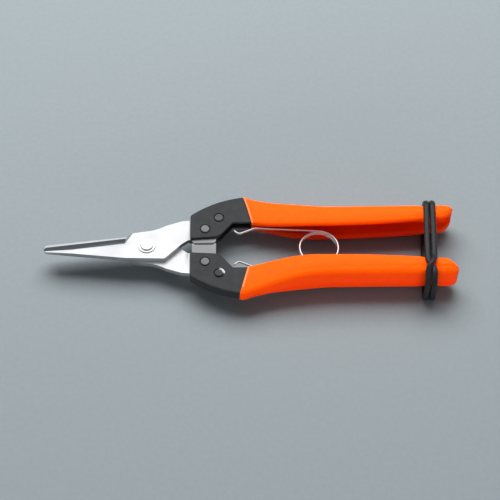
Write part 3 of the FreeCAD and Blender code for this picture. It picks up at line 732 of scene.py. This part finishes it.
def paint(name, color, rough):
    """Semi-gloss sprayed enamel with a slight orange peel and a few rubbed places."""
    shade = Shade(name, color, 0.0, rough, Specular_IOR_Level=0.26)
    peel = shade.noise(shade.mapped(), 2600, 2.0)
    rub = shade.noise(shade.mapped(), 260, 4.0)
    shade.join(shade.span(rub, 0.35, 0.7, rough - 0.04, rough + 0.09),
               shade.shader.inputs["Roughness"])
    lighter = tuple(c * 1.5 + 0.004 for c in color)
    shade.join(shade.mix(shade.span(rub, 0.4, 0.8, 0, 1), color, lighter),
               shade.shader.inputs["Base Color"])
    shade.bump(peel, 0.10, 0.00005)
    return shade


def paint_with_highlight_arc(name, color, rough, radius):
    """Paint with a painted highlight: a pale thin arc on one side of the lower rear rivet. radius
    holds the arc's inner and outer radius."""
    shade = paint(name, color, rough)
    x, y = HANDLE_RIVETS["rear_rivet"]
    away = shade.node("ShaderNodeVectorMath", operation="SUBTRACT")
    away.inputs[1].default_value = (x * MM, -y * MM, 0)
    shade.join(shade.place, away.inputs[0])
    flat = shade.node("ShaderNodeVectorMath", operation="MULTIPLY")
    flat.inputs[1].default_value = (1, 1, 0)
    shade.join(away.outputs["Vector"], flat.inputs[0])
    length = shade.node("ShaderNodeVectorMath", operation="LENGTH")
    shade.join(flat.outputs["Vector"], length.inputs[0])
    unit = shade.node("ShaderNodeVectorMath", operation="NORMALIZE")
    shade.join(flat.outputs["Vector"], unit.inputs[0])
    facing = shade.node("ShaderNodeVectorMath", operation="DOT_PRODUCT")
    facing.inputs[1].default_value = (0.75, 0.66, 0)
    shade.join(unit.outputs["Vector"], facing.inputs[0])
    soft = 0.05
    past = shade.span(length.outputs["Value"], (radius[0] - soft) * MM,
                      (radius[0] + soft) * MM, 0, 1)
    within = shade.span(length.outputs["Value"], (radius[1] - soft) * MM,
                        (radius[1] + soft) * MM, 1, 0)
    side = shade.span(facing.outputs["Value"], 0.6, 0.85, 0, 1)
    painted_highlight_mask = shade.math("MULTIPLY", shade.math("MULTIPLY", past, within), side)
    base = shade.shader.inputs["Base Color"].links[0].from_socket
    # the pale colour inside the arc is a painted highlight
    shade.join(shade.mix(painted_highlight_mask, base, (0.62, 0.61, 0.59)), shade.shader.inputs["Base Color"])
    return shade


def soft_vinyl(name, color):
    """Dipped plastisol: saturated, slightly translucent, with a fine pebble. Faces turned away from
    straight up get a deeper red, which is painted shade.
    """
    shade = Shade(name, color, 0.0, 0.42, Subsurface_Weight=0.3, Subsurface_Scale=0.0025,
                  Specular_IOR_Level=0.14)
    shade.set("Subsurface Radius", (1.0, 0.25, 0.08))
    pebble = shade.noise(shade.mapped(), 1500, 2.0, 0.5)
    swell = shade.noise(shade.mapped(), 110, 2.0)
    tone = shade.span(shade.noise(shade.mapped(), 420, 3.0), 0.3, 0.7, -0.12, 0.12)
    # painted shade: the colour turns deeper red as the face's normal turns from up to the side and
    # down, with a little random tone mixed in
    facing = shade.node("ShaderNodeSeparateXYZ")
    shade.join(shade.node("ShaderNodeTexCoord").outputs["Normal"], facing.inputs["Vector"])
    height = shade.span(facing.outputs["Z"], -0.1, 1.0, 0, 1)
    painted_side_shade = (color[0] * 0.95, color[1] * 0.5, 0.0)
    shade.join(shade.mix(shade.math("ADD", height, tone), painted_side_shade, color),
               shade.shader.inputs["Base Color"])
    shade.join(shade.span(pebble, 0.3, 0.7, 0.36, 0.52), shade.shader.inputs["Roughness"])
    shade.bump(swell, 0.25, 0.0004)
    shade.bump(pebble, 0.6, 0.00008)
    return shade


def rubber(name):
    """Black rubber with a faint sheen and a fine skin."""
    shade = Shade(name, (0.009, 0.009, 0.01), 0.0, 0.28, Specular_IOR_Level=0.3,
                  Coat_Weight=0.12, Coat_Roughness=0.12)
    skin = shade.noise(shade.mapped(), 1200, 3.0)
    shade.join(shade.span(skin, 0.3, 0.7, 0.22, 0.36), shade.shader.inputs["Roughness"])
    shade.bump(skin, 0.12, 0.00006)
    return shade


def wire_steel(name):
    """Bright drawn wire."""
    shade = Shade(name, (0.80, 0.77, 0.73), 1.0, 0.2)
    drawn = shade.noise(shade.mapped(), 1800, 3.0)
    shade.join(shade.span(drawn, 0.3, 0.7, 0.12, 0.24), shade.shader.inputs["Roughness"])
    shade.bump(drawn, 0.08, 0.00003)
    return shade


def floor_shade(name, color):
    """A matt floor with faint specks."""
    shade = Shade(name, color, 0.0, 0.75)
    speck = shade.noise(shade.mapped(), 500, 3.0)
    paler = tuple(c * 1.06 for c in color)
    shade.join(shade.mix(shade.span(speck, 0.3, 0.7, 0, 1), color, paler),
               shade.shader.inputs["Base Color"])
    return shade


def dress(piece, slot, *shades):
    """Gives a piece its materials. slot is not used."""
    piece.data.materials.clear()
    for shade in shades:
        piece.data.materials.append(shade.material)


# ---------------------------------------------------------------- camera, lights and floor
def make_camera():
    """A long lens from the front, 56 degrees above the floor. Lengths are in metres."""
    azimuth, elevation, reach = math.radians(-0.8), math.radians(56.0), 0.650
    aim = Vector((0.0, -0.00026, 0.0075))
    back = Vector((math.sin(azimuth) * math.cos(elevation),
                   -math.cos(azimuth) * math.cos(elevation), math.sin(elevation)))
    camera = bpy.data.objects.new("camera", bpy.data.cameras.new("camera"))
    camera.data.lens = 107.9
    camera.data.sensor_width = 36.0
    camera.data.clip_start, camera.data.clip_end = 0.01, 20
    camera.location = aim + back * reach
    camera.rotation_mode = "QUATERNION"
    camera.rotation_quaternion = (-back).to_track_quat("-Z", "Y")
    bpy.context.scene.collection.objects.link(camera)
    bpy.context.scene.camera = camera


def softbox(name, place, size, power, glossy=True):
    """A soft area light turned to the middle of the scene, seen in reflections if glossy."""
    data = bpy.data.lights.new(name, "AREA")
    data.shape = "RECTANGLE"
    data.size, data.size_y = size
    data.energy = power
    light = bpy.data.objects.new(name, data)
    light.location = place
    light.rotation_mode = "QUATERNION"
    light.rotation_quaternion = (-Vector(place)).to_track_quat("-Z", "Y")
    light.visible_camera = False
    light.visible_glossy = glossy
    bpy.context.scene.collection.objects.link(light)


def make_stage():
    """A plain floor, a large soft key from behind, a dimmer card that the flat steel mirrors,
    a low fill from the front, and even surroundings."""
    half = 1.5   # metres
    corners = [(-half, -half), (half, -half), (half, half), (-half, half)]
    mesh = bpy.data.meshes.new("floor")
    mesh.from_pydata([(x, y, 0.0) for x, y in corners], [], [(0, 1, 2, 3)])
    floor = bpy.data.objects.new("floor", mesh)
    floor.location.z = -0.00005
    floor.data.materials.append(floor_shade("pale_floor", (0.165, 0.188, 0.198)).material)
    bpy.context.scene.collection.objects.link(floor)
    softbox("key", (-0.08, 0.62, 0.82), (1.1, 0.7), 27.0, glossy=False)
    softbox("reflection_card", (0.0, 0.62, 0.92), (1.5, 0.9), 5.8)
    softbox("front_fill", (0.1, -1.2, 0.17), (1.6, 0.26), 14.0, glossy=False)
    world = bpy.data.worlds.new("studio")
    world.use_nodes = True
    tree = world.node_tree
    background = tree.nodes["Background"]
    background.inputs["Color"].default_value = (0.80, 0.84, 0.88, 1)
    seen = tree.nodes.new("ShaderNodeLightPath")
    wanted = background.inputs["Strength"]
    for ray, extra in (("Is Camera Ray", 0.42), ("Is Glossy Ray", 0.24)):
        more = tree.nodes.new("ShaderNodeMath")
        more.operation = "MULTIPLY_ADD"
        more.inputs[1].default_value = extra
        tree.links.new(seen.outputs[ray], more.inputs[0])
        tree.links.new(more.outputs["Value"], wanted)
        wanted = more.inputs[2]
    wanted.default_value = 0.20
    bpy.context.scene.world = world
    bpy.context.scene.view_settings.view_transform = "Standard"


# ---------------------------------------------------------------- the pieces
# Darker, rougher places as (lowest corner, highest corner, tone): painted shade on the stop tabs and
# tangs, which sit low between the cheeks, and a darker strip on the rear blade's inner face where it
# shows beside the front blade.
# painted shade where the tabs sit low between the cheeks
SHADED_STOPS = ((-26.2, -30, 0), (-9, 30, 20), 0.43)
EDGE_STRIP = ((-95, -2, MID - 0.6), (-52.5, 12, MID + 0.02), 0.62)
BLADE = satin_steel("satin_blade", (0.68, 0.683, 0.685), 0.33, (120, 2600, 2600),
                    darker_boxes=(SHADED_STOPS, EDGE_STRIP))
# painted reflection: the bevel's dark colour stands in for the dark surroundings that it mirrors
BEVEL_DARK_REFLECTION = satin_steel("ground_bevel_dark_reflection", (0.165, 0.182, 0.196), 0.36, (2600, 160, 160), 0.3)
RIVET = turned_steel("turned_rivet", (0.80, 0.80, 0.79), 0.26, PIVOT)
PAINT = {
    "upper": paint("black_paint", (0.012, 0.0125, 0.014), 0.36),
    # the lower cheek has a painted highlight arc round its rear rivet
    "lower": paint_with_highlight_arc("black_paint_highlight_arc", (0.012, 0.0125, 0.014), 0.36, (2.0, 2.5)),
}
RIVET_PAINT = {
    ("upper", "front_rivet"): paint("worn_grey_paint", (0.085, 0.086, 0.09), 0.36),
    ("lower", "front_rivet"): paint("worn_grey_paint_too", (0.085, 0.086, 0.09), 0.36),
    ("upper", "rear_rivet"): paint("grey_paint", (0.035, 0.036, 0.038), 0.36),
    # the lower rear rivet's head has a painted highlight arc
    ("lower", "rear_rivet"): paint_with_highlight_arc("rivet_paint_highlight_arc", (0.02, 0.0205, 0.022), 0.36,
                                        (1.58, 2.0)),
}
VINYL = soft_vinyl("orange_vinyl", (0.96, 0.082, 0.0))
# paler orange for the grips' front edges: a painted highlight
LIP_HIGHLIGHT_VINYL = soft_vinyl("orange_vinyl_lip_highlight", (0.98, 0.19, 0.07))
RUBBER = rubber("black_rubber")
WIRE_STEEL = wire_steel("drawn_wire")


def blade(name, side):
    """A blade with its ground bevel in a material of its own, whose dark colour is a painted
    reflection of the dark surroundings.
    """
    def on_spine(edge):
        """On the outer face, on the side away from the cut, in front of x = -38."""
        middle = (edge.verts[0].co + edge.verts[1].co) / (2 * MM)
        outer = (middle.z - MID) * side > 0.6
        return outer and middle.x < -38.0 and middle.y * side < -1.0

    piece = from_node(f"{name}_steel", name, on_spine)
    dress(piece, "blade_steel", BLADE, BEVEL_DARK_REFLECTION)
    for face in piece.data.polygons:
        tilted = 0.6 < abs(face.normal.z) < 0.96 and abs(face.normal.x) < 0.3
        ahead = face.center.x < -0.0485 and face.area > 0.8e-6
        face.material_index = 1 if tilted and ahead else 0   # the area leaves slivers out
    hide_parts(name)
    return piece


def countersunk(piece, side):
    """Cuts a shallow cone round each rivet into both faces of a cheek."""
    points, faces = [], []
    turns = 48
    floor, above = CHEEK_HALF - SINK_DEPTH, CHEEK_HALF + 0.05
    for x, y in HANDLE_RIVETS.values():
        for up in (1, -1):
            start = len(points)
            for radius, height in ((RIVET_SHANK, floor), (2.0, floor), (2.42, above),
                                   (RIVET_SHANK, above)):
                for k in range(turns):
                    angle = 2 * math.pi * k / turns
                    points.append((x + radius * math.cos(angle), y + radius * math.sin(angle),
                                   MID + up * height))
            for ring in range(4):
                low, high = start + ring * turns, start + (ring + 1) % 4 * turns
                for k in range(turns):
                    after = (k + 1) % turns
                    faces.append((low + k, low + after, high + after, high + k))
    cutter = tidy(new_piece(f"{piece.name}_cutter", points, faces, side))
    sink = piece.modifiers.new("countersinks", "BOOLEAN")
    sink.operation = "DIFFERENCE"
    sink.solver = "EXACT"
    sink.object = cutter
    graph = bpy.context.evaluated_depsgraph_get()
    mesh = bpy.data.meshes.new_from_object(piece.evaluated_get(graph))
    piece.modifiers.clear()
    old, piece.data = piece.data, mesh
    mesh.name = piece.name
    bpy.data.meshes.remove(old)
    bpy.data.objects.remove(cutter)
    return tidy(piece, 35.0)


def pale_lip(coat, side):
    """Gives the thin front edge of a grip's coat its own, paler material, which is a painted
    highlight along its rounded bead.
    """
    near_start, far_start = (x + STAGGER * side for x in COAT_FRONT)
    near_y, far_y = GRIP_INNER[0][1], GRIP_OUTER[0][1]
    for face in coat.data.polygons:
        x, y = face.center.x / MM, face.center.y * side / MM
        front = near_start + (far_start - near_start) * (y - near_y) / (far_y - near_y)
        face.material_index = 1 if x < front + PALE_LIP else 0


def rivet_profile(shank, head, seat, crown, soft, dome):
    """(radius, height) points of a rivet with two rounded, slightly domed heads. seat is the
    height of a head's underside, and crown that of its rim."""
    half = rounded([(0, crown + dome), (head, crown), (head, seat), (shank, seat), (shank, 0)],
                   [soft, 0.05, 0.05], 6)
    return [(r, -z) for r, z in half] + half[::-1][1:]


make_camera()
make_stage()

for name, body in (("front_blade", "upper_arm"), ("rear_blade", "lower_arm")):
    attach(blade(name, 1 if body == "upper_arm" else -1), body)

pin = rivet_profile(2.4, head=2.85, seat=2.85, crown=3.55, soft=0.28, dome=0.06)
pivot = lathe("pivot_rivet_turned", pin, PIVOT)
dress(pivot, "rivet_steel", RIVET)
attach(pivot, "pivot")
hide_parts("pivot_rivet")
for name, up in (("upper_pivot_washer", 1), ("lower_pivot_washer", -1)):
    run = rounded([(2.42, 2.65), (2.42, 2.46), (3.8, 2.46), (3.8, 2.85), (2.42, 2.85),
                   (2.42, 2.65)], [0.04, 0.05, 0.16, 0.05], 5)[:-1]
    washer = lathe(f"{name}_turned", [(r, z * up) for r, z in run], PIVOT)
    dress(washer, "rivet_steel", RIVET)
    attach(washer, "pivot")
    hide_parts(name)

for arm, side in (("upper", 1), ("lower", -1)):
    body = f"{arm}_arm"
    sheet = countersunk(handle_frame(f"{arm}_handle_sheet", side), side)
    dress(sheet, "handle_paint", PAINT[arm])
    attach(sheet, body)
    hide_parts(f"{arm}_handle_frame")
    coat = soft_grip(f"{arm}_grip_coat", side)
    dress(coat, "grip_vinyl", VINYL, LIP_HIGHLIGHT_VINYL)
    pale_lip(coat, side)
    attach(coat, body)
    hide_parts(f"{arm}_grip")
    for place, centre in HANDLE_RIVETS.items():
        profile = rivet_profile(RIVET_SHANK, head=1.8, seat=2.0, crown=2.72, soft=0.2, dome=0.04)
        pin = lathe(f"{arm}_{place}_turned", profile, centre, side, 56)
        dress(pin, "painted_rivet", RIVET_PAINT[arm, place])
        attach(pin, body)
        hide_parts(f"{arm}_{place}")

for piece in spring_pieces():
    dress(piece, "spring_wire", WIRE_STEEL)
for piece in lock_loop():
    dress(piece, "loop_rubber", RUBBER)
